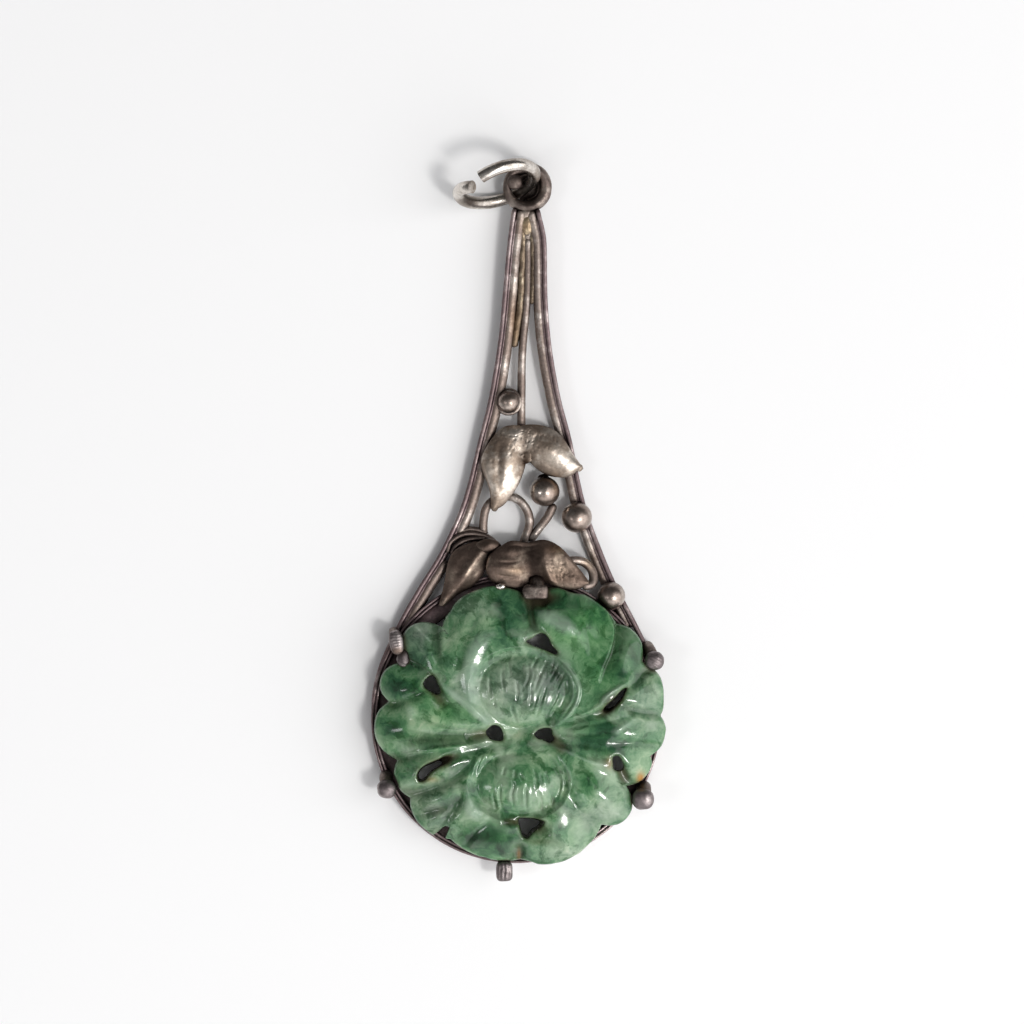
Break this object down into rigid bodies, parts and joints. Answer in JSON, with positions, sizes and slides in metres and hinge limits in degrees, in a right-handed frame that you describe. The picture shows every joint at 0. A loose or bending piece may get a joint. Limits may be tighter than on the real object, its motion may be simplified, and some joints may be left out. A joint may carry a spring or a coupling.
{
  "type": "jade pendant",
  "caption": "Carved pierced jade flower in a soldered silver wire frame with leaves, balls and claws, hung from an eye and an open jump ring.",
  "frame": {"origin": "middle of the pendant's outline, on the surface that it lies on", "axes": "+Y up the pendant from the stone to the eye, +X to the right seen from the front, +Z out of the front"},
  "size_m": [0.0309, 0.0753, 0.0086],
  "materials": {
    "tarnished_silver": "tarnished, worn bright on the high spots",
    "jade": "polished, mottled green",
    "bright_silver": "polished"
  },
  "bodies": {
    "root": {"silver_mount": "tarnished_silver", "jade_flower": "jade", "jump_ring": "bright_silver"}
  },
  "joints": []
}
